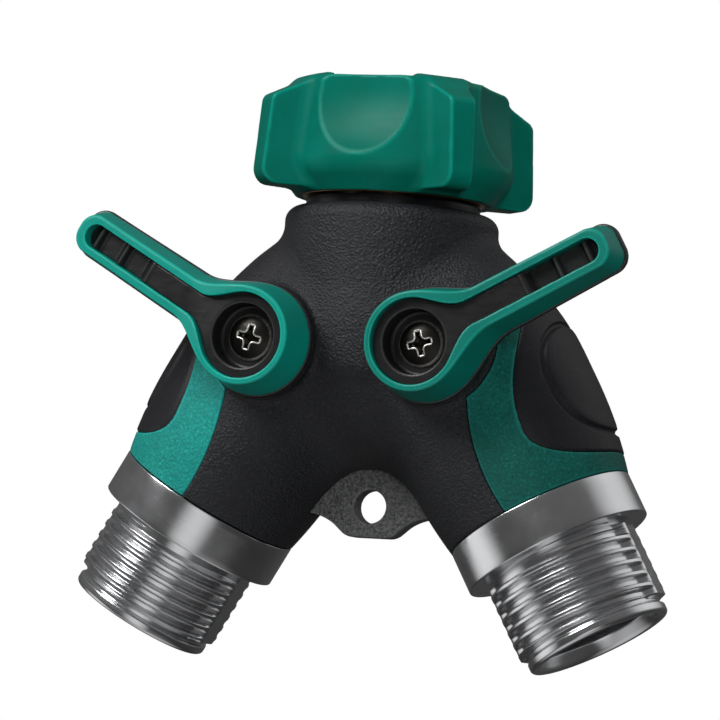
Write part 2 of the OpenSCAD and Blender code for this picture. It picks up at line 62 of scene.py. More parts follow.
JOINTS = {joint["name"]: joint for joint in frame["joints"]}
MOUNTS = {mount["name"]: mount for mount in frame["record"]["mounts"]}
OUTLET_AXIS = MOUNTS["outlet_right_thread"]["axis"]
LEG_SIN, LEG_COS = OUTLET_AXIS[0], -OUTLET_AXIS[2]
HUB_X = abs(JOINTS["lever_right_turn"]["pos_m"][0]) / MM
HUB_Z = JOINTS["lever_right_turn"]["pos_m"][2] / MM
VALVE_T = HUB_X / LEG_SIN
APEX_Z = HUB_Z + VALVE_T * LEG_COS
CREST_R = MOUNTS["outlet_right_thread"]["dims"]["r_mm"]
BORE_R = MOUNTS["outlet_right_bore"]["dims"]["r_mm"]
HOLE_R = MOUNTS["hang_hole"]["dims"]["r_mm"]
HOLE_Z = MOUNTS["hang_hole"]["pos_m"][2] / MM
NUT_LOW, NUT_HIGH = (corner.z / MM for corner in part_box("nut_grip"))
NUT_LUG_R = 25.9
NUT_BODY_R = 20.4
NUT_TOP_R = 19.0
INLET_CREST_R = MOUNTS["inlet_thread"]["dims"]["r_mm"]
INLET_ROOT_R = 13.62
PITCH = 2.209
ROOT_R = 12.05
COLLAR_T, COLLAR_LENGTH, COLLAR_R = 60.9, 7.4, 16.4
THREAD_T = COLLAR_T + COLLAR_LENGTH
OUTLET_END_T = THREAD_T + 16.7
LAND_HALF = 13.24
LEG_R = 18.2
NECK_R = 18.4
NECK_TOP_Z = NUT_LOW - 1.9
CROTCH_FILLET = 16.2
CHEST_DROP, CHEST_RADII = 24, (19.0, 18.5, 19.5)
SHELL_END_T = COLLAR_T - 0.15
BOSS_R, BOSS_HIGH = 9.6, 19.8
PANEL_DEPTH, PAD_DEPTH = 1.4, 0.9
CORE_NECK_R, CORE_NECK_LOW_Z = 14.2, -34
CORE_TOP_T, CORE_END_T = 16, 60.6
CORE_BOSS_R = 8
TAB_HALF = 2.0
TAB_FOOT_Z, TAB_WEB_Z = -67.9, -64.15
TAIL_R, TAIL_BORE_R, TAIL_END_Z, INLET_BORE_END_Z = 10.2, 8.5, -21.8, -27
PORT_T, PORT_R, CHAMBER_T, CHAMBER_R = 18.5, 6, 21.5, 10.6
SOCKET_T, SOCKET_R = 44, 13.2
SEAT_REACH, NOSE_BORE_R = 9.3, 7.5
STEM_HOLE_R, STEM_FLANGE_HOLE_R, STEM_FLANGE_HIGH = 3.95, 5.05, 11.8
LEVER_LENGTH = 37.5
GAP = 0.05


# ---- Distance fields ----

def join(a, b, radius):
    """Union with a round fillet."""
    fillet = np.hypot(np.maximum(radius - a, 0), np.maximum(radius - b, 0))
    return np.maximum(radius, np.minimum(a, b)) - fillet


def meet(a, b, radius):
    """Intersection with a rounded edge."""
    edge = np.hypot(np.maximum(radius + a, 0), np.maximum(radius + b, 0))
    return np.minimum(-radius, np.maximum(a, b)) + edge


def cut(a, b, radius):
    return meet(a, -b, radius)


def ease(low, high, x):
    u = np.clip((x - low) / (high - low), 0, 1)
    return u * u * (3 - 2 * u)


def curve_through(points, x, blur=2.5):
    """A smoothed line through (x, y) points."""
    xs, ys = zip(*points)
    return sum(np.interp(x + shift, xs, ys) for shift in np.linspace(-blur, blur, 7)) / 7


def rounded_box(x, y, half_x, half_y, corner):
    qx, qy = np.abs(x) - half_x + corner, np.abs(y) - half_y + corner
    outside = np.hypot(np.maximum(qx, 0), np.maximum(qy, 0))
    return outside + np.minimum(np.maximum(qx, qy), 0) - corner


def egg(x, y, half_x, low, high, low_power, high_power):
    """Closed oval with its own reach and roundness below and above its centre."""
    reach = np.where(y < 0, low, high)
    power = np.where(y < 0, low_power, high_power)
    px, py = np.abs(x) / half_x, np.abs(y) / reach
    level = (px ** power + py ** power) ** (1 / power)
    share = np.maximum(level, 0.05) ** (1 - power)
    slope = np.hypot(share * px ** (power - 1) / half_x, share * py ** (power - 1) / reach)
    return (level - 1) / np.maximum(slope, 0.5 / np.maximum(half_x, reach))


# ---- Meshes from distance fields ----

def sampled(field, low, counts, step, block=4):
    """Field values on a grid, worked out only in the blocks that lie near the surface."""
    blocks = -(-counts // block)
    at = np.stack(np.meshgrid(*map(np.arange, blocks), indexing="ij"), -1).reshape(-1, 3)
    centres = low + (at * block + (block - 1) / 2) * step
    level = np.concatenate([field(*part.T) for part in np.array_split(centres, 1 + len(at) // 400000)])
    near = np.abs(level) < 1.3 * (block + 1) / 2 * step * math.sqrt(3) + 0.15
    values = np.empty((len(at), block, block, block), np.float32)
    values[:] = level[:, None, None, None]
    inner = np.stack(np.meshgrid(*[np.arange(block)] * 3, indexing="ij"), -1).reshape(1, -1, 3)
    chosen = np.flatnonzero(near)
    for part in np.array_split(chosen, 1 + len(chosen) // 8000):
        points = (low + (at[part][:, None] * block + inner) * step).reshape(-1, 3)
        values[part] = field(*points.T).reshape(-1, block, block, block)
    values = values.reshape(*blocks, block, block, block).transpose(0, 3, 1, 4, 2, 5)
    return values.reshape(blocks * block)[tuple(slice(0, c) for c in counts)]


def surface_net(field, low, high, step):
    """Vertices and quads of the field's zero surface inside a box."""
    low, high = np.array(low, float), np.array(high, float)
    counts = np.ceil((high - low) / step).astype(int) + 1
    values = sampled(field, low, counts, step)
    cells = tuple(counts - 1)
    total = np.zeros(cells + (3,), np.float32)
    crossings = np.zeros(cells, np.float32)
    for axis in range(3):
        for du in (0, 1):
            for dv in (0, 1):
                offset = np.insert([du, dv], axis, 0)
                a = values[tuple(slice(o, o + c) for o, c in zip(offset, cells))]
                offset_b = offset + np.eye(3, dtype=int)[axis]
                b = values[tuple(slice(o, o + c) for o, c in zip(offset_b, cells))]
                crosses = (a < 0) != (b < 0)
                share = np.where(crosses, a / np.where(crosses, a - b, 1), 0)
                for k in range(3):
                    total[..., k] += crosses * offset[k] + (share if k == axis else 0)
                crossings += crosses
    used = crossings > 0
    ids = np.full(cells, -1, np.int64)
    ids[used] = np.arange(used.sum())
    corners = np.argwhere(used)
    points = low + step * (corners + total[used] / crossings[used][:, None])
    quads = []
    for axis in range(3):
        u, v = (axis + 1) % 3, (axis + 2) % 3
        inner = [slice(1, counts[k] - 1) for k in range(3)]
        inner[axis] = slice(0, counts[axis] - 1)
        shifted = list(inner)
        shifted[axis] = slice(1, counts[axis])
        a, b = values[tuple(inner)] < 0, values[tuple(shifted)] < 0
        for flag, flip in ((a & ~b, False), (~a & b, True)):
            at = np.argwhere(flag) + [inner[k].start for k in range(3)]
            ring = []
            for du, dv in ((-1, -1), (0, -1), (0, 0), (-1, 0)):
                cell = at.copy()
                cell[:, u] += du
                cell[:, v] += dv
                ring.append(ids[cell[:, 0], cell[:, 1], cell[:, 2]])
            quad = np.stack(ring, 1)
            quads.append(quad[:, ::-1] if flip else quad)
    return points, np.concatenate(quads)


def gradient(field, points, reach):
    out = np.empty_like(points)
    for k in range(3):
        shift = np.zeros(3)
        shift[k] = reach
        ahead, behind = points + shift, points - shift
        out[:, k] = (field(*ahead.T) - field(*behind.T)) / (2 * reach)
    return out


def settle(field, points, step):
    """Moves the vertices onto the zero surface; returns them with how sharply it bends there."""
    for _ in range(4):
        slope = gradient(field, points, 0.2 * step)
        size = np.maximum((slope ** 2).sum(1), 0.05)
        move = slope * (field(*points.T) / size)[:, None]
        length = np.linalg.norm(move, axis=1, keepdims=True)
        points = points - move * np.minimum(1, 0.5 * step / np.maximum(length, 1e-9))
    reach = 0.25
    bend = -6 * field(*points.T)
    for k in range(3):
        shift = np.zeros(3)
        shift[k] = reach
        bend += field(*(points + shift).T) + field(*(points - shift).T)
    return points, bend / reach ** 2


def new_piece(name, points, faces, body, material, replaces=(), edges=None):
    """A smooth-shaded mesh piece, from points in millimetres in the row frame."""
    mesh = bpy.data.meshes.new(name)
    mesh.vertices.add(len(points))
    mesh.vertices.foreach_set("co", (np.asarray(points, np.float32) * MM).ravel())
    mesh.loops.add(faces.size)
    mesh.loops.foreach_set("vertex_index", faces.astype(np.int32).ravel())
    mesh.polygons.add(len(faces))
    mesh.polygons.foreach_set("loop_start", np.arange(0, faces.size, faces.shape[1], dtype=np.int32))
    mesh.update(calc_edges=True)
    mesh.validate()
    # Edge sharpness kept as a mask: it wears the screw and the coat bright, and on plastics and grips it lightens
    # the edges as a painted highlight.
    if edges is not None:
        edge_wear_and_highlight = mesh.attributes.new("edge_wear_and_highlight", "FLOAT", "POINT")
        edge_wear_and_highlight.data.foreach_set("value", np.clip((edges - 0.6) / 2.6, 0, 1).astype(np.float32))
    mesh.shade_smooth()
    piece = bpy.data.objects.new(name, mesh)
    bpy.context.scene.collection.objects.link(piece)
    mesh.materials.append(material)
    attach(piece, body)
    if replaces:
        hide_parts(*replaces)
    return piece


def stay(points):
    """For pieces that are meshed in the row frame itself."""
    return points


def leg_place(points):
    """From the left leg's frame (outward, y, down the leg) to the row frame."""
    w, y, t = points.T
    return np.stack([-t * LEG_SIN - w * LEG_COS, y, APEX_Z - t * LEG_COS + w * LEG_SIN], 1)


def valve_place(points):
    """From the left valve's frame (along the lever, down the leg, to the front) to the row frame."""
    x, y, z = points.T
    return leg_place(np.stack([x, -z, y + VALVE_T], 1))


def mirrored(points, faces, side):
    if side < 0:
        return points, faces
    return points * [-1, 1, 1], faces[:, ::-1]


def field_piece(name, field, low, high, step, body, material, replaces=(), place=stay, side=-1):
    step = step * COARSE
    points, faces = surface_net(field, low, high, step)
    points, edges = settle(field, points, step)
    points, faces = mirrored(place(points), faces, side)
    return new_piece(name, points, faces, body, material, replaces, edges)


def field_pair(name, field, low, high, step, bodies, materials, replaces, place=leg_place):
    """The same piece on both sides, meshed once and mirrored."""
    step = step * COARSE
    points, faces = surface_net(field, low, high, step)
    points, edges = settle(field, points, step)
    points = place(points)
    for (side_name, side), body, material in zip(SIDES, bodies, materials):
        side_points, side_faces = mirrored(points, faces, side)
        new_piece(f"{name}_{side_name}", side_points, side_faces, body, material,
                  [f"{node}_{side_name}" for node in replaces], edges)


# ---- Turned pieces ----

def turned(profile, turns, thread=None):
    """Closed ring mesh: a revolved profile of (radius, height) points, shaped by thread(r, z, angle)."""
    angles = np.arange(turns) * 2 * math.pi / turns
    r, z = np.array(profile, float).T
    r = np.repeat(r[None], turns, 0)
    z = np.repeat(z[None], turns, 0)
    if thread is not None:
        r = thread(r, z, angles[:, None])
    points = np.stack([r * np.cos(angles)[:, None], r * np.sin(angles)[:, None], z], -1).reshape(-1, 3)
    count = len(profile)
    here = np.arange(turns)[:, None] * count
    there = (np.arange(turns)[:, None] + 1) % turns * count
    i, j = np.arange(count), (np.arange(count) + 1) % count
    faces = np.stack([here + i, there + i, there + j, here + j], -1).reshape(-1, 4)
    return points, faces


def dense(corners, spacing, radius=0.0, closed=True):
    """A profile with its corners rounded and its long stretches split."""
    corners = np.array(corners, float)
    path = []
    for k, corner in enumerate(corners):
        back, ahead = corners[k - 1] - corner, corners[(k + 1) % len(corners)] - corner
        reach = min(radius, 0.45 * np.linalg.norm(back), 0.45 * np.linalg.norm(ahead))
        start = corner + back / np.linalg.norm(back) * reach
        end = corner + ahead / np.linalg.norm(ahead) * reach
        for u in (np.linspace(0, 1, 5) if reach > 0 else (0,)):
            path.append((1 - u) ** 2 * start + 2 * u * (1 - u) * corner + u * u * end)
    out = [] if closed else [path[-1]]
    for k, point in enumerate(path if closed else path[:-1]):
        following = path[(k + 1) % len(path)]
        pieces = max(1, math.ceil(np.linalg.norm(following - point) / spacing))
        out += [point + (following - point) * n / pieces for n in range(pieces)]
    return out if closed else out[1:] + out[:1]


def thread_height(turn_share, crest, root):
    """Height of a flat-topped, flat-bottomed thread, from 0 at the root to 1 at the crest."""
    away = np.abs((turn_share + 0.5) % 1 - 0.5)
    rise = np.clip((root - away) / (root - crest), 0, 1)
    return rise * rise * (3 - 2 * rise) * 0.2 + rise * 0.8


# ---- Body skin, shared by the grip, the panels and the pads ----

# Leg radius by distance from the apex
SHOULDER = [(4, 6.5), (8, 8.8), (16, 12.9), (19.5, 14.5), (23, 15.6), (28, 16.9), (33, 17.9),
            (37, LEG_R), (99, LEG_R)]
TAPER_T = 44.0
PANEL_EDGE_W, PANEL_LOW_T, PANEL_CURVE_R = -1.6, 55.9, 36.0
# Centre of each oval down the leg, then half width, reach and roundness at its two ends
PANEL_T, PANEL_EGG = 45, (19, 20, 30, 2, 8)
PAD_T, PAD_EGG = 48, (16.2, 9.6, 20.7, 3, 2)
OVAL_T, OVAL_EGG = 44, (11.6, 10.1, 10.1, 2.5, 2.5)


def leg_frame(x, y, z, side=-1):
    """Down-leg distance and outward distance of row-frame points."""
    down = x * side * LEG_SIN - (z - APEX_Z) * LEG_COS
    outward = x * side * LEG_COS + (z - APEX_Z) * LEG_SIN
    return down, outward


def row_of_leg(w, y, t):
    return -t * LEG_SIN - w * LEG_COS, y, APEX_Z - t * LEG_COS + w * LEG_SIN


def leg_radius(t):
    taper_curve = (COLLAR_T - TAPER_T) ** 2 / (2 * (LEG_R - COLLAR_R))
    return curve_through(SHOULDER, t) - np.maximum(t - TAPER_T, 0) ** 2 / (2 * taper_curve)


def skin(x, y, z):
    """Outer surface of the soft body, before its panels are cut out."""
    legs = []
    for _, side in SIDES:
        t, w = leg_frame(x, y, z, side)
        legs.append(np.maximum((np.hypot(w, y) - leg_radius(t)) * 0.97, 6 - t))
    body = join(legs[0], legs[1], CROTCH_FILLET)
    rho = np.hypot(x, y)
    neck_half = 15
    neck = rounded_box(rho, z - (NECK_TOP_Z - neck_half), NECK_R, neck_half, 2.6)
    across, front, upright = CHEST_RADII
    chest_z = APEX_Z - CHEST_DROP
    chest = (np.sqrt((x / across) ** 2 + (y / front) ** 2 + ((z - chest_z) / upright) ** 2) - 1) * 18
    body = join(body, chest, 4)
    body = join(body, neck, 1.4)
    for _, side in SIDES:
        t, w = leg_frame(x, y, z, side)
        boss = meet(np.hypot(w, t - VALVE_T) - BOSS_R, np.maximum(-y - BOSS_HIGH, y + 8), 0.5)
        body = join(body, boss, 1.6)
    return body


def panel_region(w, y, t):
    """Negative where a side panel is, in its leg's frame."""
    edge = PANEL_EDGE_W + (t - PANEL_LOW_T) ** 2 / (2 * PANEL_CURVE_R)
    region = np.maximum((edge - w) * 0.93, egg(y, t - PANEL_T, *PANEL_EGG))
    boss = np.where(y < 0, BOSS_R + 0.7 - np.hypot(w, t - VALVE_T), -9)
    return np.maximum(region, boss)


def pad_region(w, y, t):
    return np.maximum(egg(y, PAD_T - t, *PAD_EGG), 2 - w)


def oval_region(y, t):
    return egg(y, OVAL_T - t, *OVAL_EGG)


def core(x, y, z, grow=0.0):
    """Outside of the metal body without its tab; grown, its ends reach past the soft grip's."""
    rho = np.hypot(x, y)
    beyond = 9 if grow > 0 else 0
    body = np.maximum(rho - CORE_NECK_R, np.maximum(z - NECK_TOP_Z + 0.5, CORE_NECK_LOW_Z - z))
    for _, side in SIDES:
        t, w = leg_frame(x, y, z, side)
        outer = np.interp(t, [CORE_TOP_T, 22, 42, SOCKET_T], [9.5, 13.0, 13.0, 14.6])
        ends = np.maximum(CORE_TOP_T - t, t - CORE_END_T - beyond)
        body = np.minimum(body, np.maximum(np.hypot(w, y) - outer, ends))
        boss_ends = np.maximum(-y - BOSS_HIGH - beyond, y)
        body = np.minimum(body, np.maximum(np.hypot(w, t - VALVE_T) - CORE_BOSS_R, boss_ends))
    return body - grow


def tab_outline(x, z):
    """Lug between the legs: a flat foot, slanted sides and rounded inner corners."""
    side = np.abs(x)
    foot_half, web_half = 4.1, 13
    slant = (side - foot_half) * 0.66 - (z - TAB_FOOT_Z) * 0.75
    lug = meet(TAB_FOOT_Z - z, slant, 0.7)
    web = np.maximum(TAB_WEB_Z - z, z + 45)
    return np.maximum(join(lug, web, 1.9), side - web_half)


def tab(x, y, z):
    """Hanging tab with its hole."""
    plate = meet(tab_outline(x, z), np.abs(y) - TAB_HALF, 0.45)
    hole = HOLE_R - np.hypot(x, z - HOLE_Z)
    return meet(plate, hole, 0.3)


def shell(x, y, z):
    """Soft grip: the skin with recesses for the panels and room for the metal body."""
    outer = skin(x, y, z)
    for _, side in SIDES:
        t, w = leg_frame(x, y, z, side)
        recess = np.maximum(panel_region(w, y, t), -(outer + PANEL_DEPTH))
        outer = cut(outer, recess, 0.3)
        outer = np.maximum(outer, t - SHELL_END_T)
    inside = np.minimum(core(x, y, z, 0.06), tab(x, y, z) - 0.06)
    return np.maximum(outer, -inside)


def panel(w, y, t):
    """Side panel with a recess for its thumb pad, in its leg's frame."""
    outer = skin(*row_of_leg(w, y, t))
    slab = meet(outer, np.maximum(panel_region(w, y, t) + GAP, t - SHELL_END_T), 0.3)
    slab = np.maximum(slab, -(outer + PANEL_DEPTH - GAP))
    pad_hole = np.maximum(pad_region(w, y, t), -(outer + PAD_DEPTH))
    return cut(slab, pad_hole, 0.3)


def pad(w, y, t):
    """Thumb pad with a raised oval inside a round groove."""
    outer = skin(*row_of_leg(w, y, t))
    oval = oval_region(y, t)
    proud = 0.12 + 0.2 * ease(0.6, -1.6, oval)
    slab = meet(outer - proud, pad_region(w, y, t) + GAP, 0.4)
    slab = np.maximum(slab, -(outer + PAD_DEPTH - GAP))
    groove_r = 0.55
    return cut(slab, np.hypot(oval, outer - 0.15) - groove_r, 0.15)


# ---- Nut ----

def nut(x, y, z):
    """Tapered ring with four scallops and, between them, four lugs with leaning faces."""
    rho = np.hypot(x, y)
    taper = (NUT_BODY_R - NUT_TOP_R) / (NUT_HIGH - NUT_LOW - 5.5)
    side = rho - (NUT_BODY_R - taper * np.maximum(z - NUT_LOW - 4, 0))
    chamfer = (rho - 17) * 0.762 - (z - NUT_LOW) * 0.648
    body = meet(meet(side, chamfer, 1.2), z - NUT_HIGH, 1.3)
    angle = np.arctan2(y, x)
    quarter = math.pi / 2
    near = (angle + quarter / 2) % quarter - quarter / 2
    u, v = rho * np.cos(near), rho * np.sin(near)
    across_r, upright_r, scallop_depth, scallop_z = 50, 21.5, 3.8, 8
    ring = np.hypot(u - (NUT_BODY_R - scallop_depth + across_r), v) - (across_r - upright_r)
    scallop = np.hypot(ring, np.minimum(z - scallop_z, 0)) - upright_r
    body = cut(body, scallop, 0.22)
    near = angle % quarter - quarter / 2
    u, v = rho * np.cos(near), rho * np.sin(near)
    lug_half, lug_top_z = 2.1, 5.3
    flank = (np.abs(v) - lug_half - (NUT_LUG_R - u) * 0.21) * 0.978
    face = (u - NUT_LUG_R + 0.075 * (z + 7)) * 0.997
    foot = meet(face, NUT_LOW + 0.5 - z, 3.0)
    crown = (u - NUT_LUG_R) * 0.435 + (z - lug_top_z) * 0.9
    lug = meet(meet(foot, crown, 0.8), flank, 0.4)
    body = join(body, np.maximum(lug, 12 - u), 1.5)
    body = np.maximum(body, NUT_LOW - z)
    bore_r = 15.55
    return cut(body, rho - bore_r, 0.3)


# ---- Levers, in the valve frame ----

BASE_LOW, BASE_HIGH = 20.1, 21.3
HUB_BACK_R, HUB_FRONT_R = 9.5, 8.3
ARM_BACK, ARM_FRONT = 4.5, 3.3
HUB_HIGH = 29.5
CUP_R, CUP_LOW, RING_R, RING_LOW = 5.45, 24.1, 7.25, 22.9
STRIP_HALF = 2.05
STRIP_LOW = 24.0
RIBS = (20.5, 26.0, 31.5)
STEM_END_R, STEM_END_HALF = 3.5, 2.5
SCREW_R, SCREW_HIGH, SHANK_R, SHANK_LOW = 4.0, 25.4, 1.65, 14.5


def lever_outline(x, y, hub_r, half, tip, corner):
    """A round hub and an arm that narrows a little toward its tip."""
    narrowing = 0.3 * ease(8, tip, x)
    arm = rounded_box(x - tip / 2, y, tip / 2, half - narrowing, corner)
    return join(np.hypot(x, y) - hub_r, arm, 5.0)


def lever_front(x):
    """Front height of the lever: a flat hub, then an arm that leans back."""
    return HUB_HIGH - 1.3 * ease(4, 13, x) - 0.052 * np.maximum(x - 8, 0)


def insert_outline(x, y, gap):
    """The hub's ring and the strip along the arm."""
    tip = LEVER_LENGTH - 2.9 - gap
    strip = rounded_box(x - tip / 2, y, tip / 2, STRIP_HALF - gap, STRIP_HALF - gap - 0.02)
    return join(np.hypot(x, y) - RING_R + gap, strip, 3.6)


def insert_front(x):
    """Front height of the insert: the hub's ring, a plain strip, then a sunken floor with ribs."""
    front = lever_front(x) - 1.35 + 0.75 * ease(6, 14, x) - 1.7 * ease(RIBS[0], RIBS[0] + 1.1, x)
    for rib in RIBS:
        front = front + 1.1 * np.exp(-((x - rib - 0.9) / 0.6) ** 2)
    return np.maximum(front, STRIP_LOW + 0.35)


def double_flat(x, y):
    """Hole for the stem's end, round with two flats."""
    return np.maximum(np.hypot(x, y) - STEM_END_R, np.abs(y) - STEM_END_HALF)


def lever_shell(x, y, z):
    share = (z - BASE_HIGH) / (HUB_HIGH - BASE_HIGH)
    hub_r = HUB_BACK_R + (HUB_FRONT_R - HUB_BACK_R) * share
    arm_half = ARM_BACK + (ARM_FRONT - ARM_BACK) * share
    outline = lever_outline(x, y, hub_r, arm_half, LEVER_LENGTH - 0.4 - 1.4 * share, 3.0)
    body = meet(outline * 0.98, z - lever_front(x), 0.4)
    body = np.maximum(body, BASE_HIGH - z)
    pocket = np.maximum(insert_outline(x, y, 0), STRIP_LOW - z)
    body = cut(body, pocket, 0.2)
    well = np.maximum(np.hypot(x, y) - RING_R, RING_LOW - z)
    return np.maximum(np.maximum(body, -well), -double_flat(x, y))


def lever_base(x, y, z):
    outline = lever_outline(x, y, HUB_BACK_R + 0.2, ARM_BACK + 0.2, LEVER_LENGTH, 3.1)
    plate = meet(outline, np.abs(z - (BASE_LOW + BASE_HIGH) / 2) - (BASE_HIGH - BASE_LOW) / 2, 0.3)
    return np.maximum(plate, -double_flat(x, y))


def lever_insert(x, y, z):
    rho = np.hypot(x, y)
    body = meet(insert_outline(x, y, GAP), z - insert_front(x), 0.25)
    body = np.maximum(body, np.minimum(STRIP_LOW - z, np.maximum(rho - RING_R + GAP, RING_LOW - z)))
    cup = meet(rho - CUP_R, CUP_LOW - z, 0.6)
    body = cut(body, cup, 0.28)
    groove_r = 0.28
    groove = np.hypot(rho - CUP_R + 0.35, z - HUB_HIGH + 1.6) - groove_r
    return np.maximum(cut(body, groove, 0.1), SHANK_R - rho)


def lever_screw(x, y, z):
    rho = np.hypot(x, y)
    dome_r = 9.0
    dome = np.sqrt(rho ** 2 + (z - SCREW_HIGH + dome_r) ** 2) - dome_r
    head = meet(meet(rho - SCREW_R, dome, 0.4), CUP_LOW - z, 0.1)
    turn = math.radians(15)
    u, v = x * math.cos(turn) + y * math.sin(turn), y * math.cos(turn) - x * math.sin(turn)
    depth = SCREW_HIGH - z
    slot_reach, slot_half, slot_low = 2.15, 0.42, 23.1
    slots = []
    for a, b in ((u, v), (v, u)):
        end = np.abs(a) - slot_reach + 0.5 * depth
        slots.append(np.maximum(end, np.abs(b) - slot_half + 0.08 * depth))
    cross = np.maximum(join(slots[0], slots[1], 0.85), slot_low - z)
    head = cut(head, cross, 0.14)
    shank = np.maximum(rho - SHANK_R, np.maximum(SHANK_LOW - z, z - CUP_LOW - 0.2))
    return np.minimum(head, np.maximum(shank, -cross))


# ---- Materials ----

def material(name):
    made = bpy.data.materials.new(name)
    made.use_nodes = True
    tree = made.node_tree
    shader = tree.nodes["Principled BSDF"]
    return made, tree, shader


def add(tree, kind, **settings):
    node = tree.nodes.new(kind)
    for key, value in settings.items():
        if key in node.inputs:
            node.inputs[key].default_value = value
        else:
            setattr(node, key, value)
    return node


def noise_at(tree, scale, detail=3.0, roughness=0.55, stretch=None):
    """Noise in object coordinates, scale in features per metre."""
    place = add(tree, "ShaderNodeTexCoord").outputs["Object"]
    if stretch is not None:
        mapping = add(tree, "ShaderNodeMapping", Scale=stretch)
        tree.links.new(place, mapping.inputs["Vector"])
        place = mapping.outputs["Vector"]
    noise = add(tree, "ShaderNodeTexNoise", Scale=scale, Detail=detail, Roughness=roughness)
    tree.links.new(place, noise.inputs["Vector"])
    return noise.outputs["Fac"]


def span(tree, value, low, high, out_low, out_high):
    node = add(tree, "ShaderNodeMapRange")
    limits = {"From Min": low, "From Max": high, "To Min": out_low, "To Max": out_high}
    for socket, number in limits.items():
        node.inputs[socket].default_value = number
    tree.links.new(value, node.inputs["Value"])
    return node.outputs["Result"]


def mixed(tree, factor, first, second):
    """Colour between two, each a colour or a socket."""
    node = add(tree, "ShaderNodeMix", data_type="RGBA")
    tree.links.new(factor, node.inputs["Factor"])
    for socket, value in ((node.inputs[6], first), (node.inputs[7], second)):
        if isinstance(value, tuple):
            socket.default_value = (*value, 1)
        else:
            tree.links.new(value, socket)
    return node.outputs[2]


def product(tree, a, b, operation="MULTIPLY"):
    node = add(tree, "ShaderNodeMath", operation=operation)
    for socket, value in zip(node.inputs, (a, b)):
        if isinstance(value, (int, float)):
            socket.default_value = value
        else:
            tree.links.new(value, socket)
    return node.outputs[0]


def bump(tree, shader, height, distance, strength=1.0, under=None):
    node = add(tree, "ShaderNodeBump", Distance=distance, Strength=strength)
    tree.links.new(height, node.inputs["Height"])
    if under is not None:
        tree.links.new(under, node.inputs["Normal"])
    tree.links.new(node.outputs["Normal"], shader.inputs["Normal"])
    return node.outputs["Normal"]


# Convex-edge mask: real wear on the screw and the coat, a painted highlight on the plastics' and grips' edges.
def edge_wear_and_highlight_mask(tree):
    return add(tree, "ShaderNodeAttribute", attribute_name="edge_wear_and_highlight").outputs["Fac"]


def grained(name, dark, light, roughness, grain=1900, depth=0.0002, edge=None, painted_glint_share=0.8, shine=0.4):
    """Soft-touch plastic with a fine leather grain, painted shade in its grain valleys, painted glints and, given
    an edge colour, edges lightened as a painted highlight.
    """
    made, tree, shader = material(name)
    place = add(tree, "ShaderNodeTexCoord").outputs["Object"]
    warp = noise_at(tree, grain * 0.5, 2.0)
    cells = add(tree, "ShaderNodeTexVoronoi", feature="SMOOTH_F1", Scale=grain, Smoothness=0.6)
    tree.links.new(place, cells.inputs["Vector"])
    fine = noise_at(tree, grain * 1.6, 4.0, 0.7)
    pebble = cells.outputs["Distance"]
    height = product(tree, product(tree, pebble, 0.75), product(tree, fine, 0.7), "ADD")
    height = product(tree, height, product(tree, warp, 0.5), "ADD")
    shader.inputs["Specular IOR Level"].default_value = shine
    patch = noise_at(tree, 130, 3.0)
    tint = mixed(tree, span(tree, patch, 0.35, 0.65, 0, 1), dark, light)
    # Painted shade: the grain's cell borders are darkened to half, as shade in its valleys.
    painted_valley_shade = tuple(c * 0.5 for c in dark)
    tint = mixed(tree, span(tree, pebble, 0.1, 0.7, 0.0, 0.5), tint, painted_valley_shade)
    # Painted glints: small bright flecks scattered over the grain, standing in for highlights on its bumps.
    glint = noise_at(tree, grain * 1.1, 1.0, 0.5)
    painted_glint_colour = tuple(c * 1.7 + 0.004 for c in light)
    tint = mixed(tree, span(tree, glint, 0.6, 0.72, 0.0, painted_glint_share), tint, painted_glint_colour)
    # Painted highlight: convex edges are lightened towards the edge colour.
    if edge is not None:
        tint = mixed(tree, product(tree, edge_wear_and_highlight_mask(tree), 0.55), tint, edge)
    tree.links.new(tint, shader.inputs["Base Color"])
    sheen = span(tree, fine, 0.3, 0.7, roughness - 0.12, roughness + 0.1)
    tree.links.new(sheen, shader.inputs["Roughness"])
    bump(tree, shader, height, depth)
    return made


def moulded(name, dark, light, roughness, edge, haze=0.05, edge_highlight_share=0.6, shine=0.38, metallic=0.0):
    """Smooth moulding: slight mottling, faint flow marks, and edges lightened as a painted highlight."""
    made, tree, shader = material(name)
    cloud = noise_at(tree, 90, 4.0)
    speck = noise_at(tree, 5200, 2.0)
    tint = mixed(tree, span(tree, cloud, 0.35, 0.65, 0, 1), dark, light)
    # Painted highlight: convex edges are lightened towards the edge colour.
    tint = mixed(tree, product(tree, edge_wear_and_highlight_mask(tree), edge_highlight_share), tint, edge)
    tree.links.new(tint, shader.inputs["Base Color"])
    smear = noise_at(tree, 260, 3.0, 0.6, (1, 1, 4))
    gloss = span(tree, smear, 0.3, 0.7, roughness - haze, roughness + haze)
    tree.links.new(gloss, shader.inputs["Roughness"])
    shader.inputs["Specular IOR Level"].default_value = shine
    shader.inputs["Metallic"].default_value = metallic
    bump(tree, shader, speck, 0.000012)
    return made


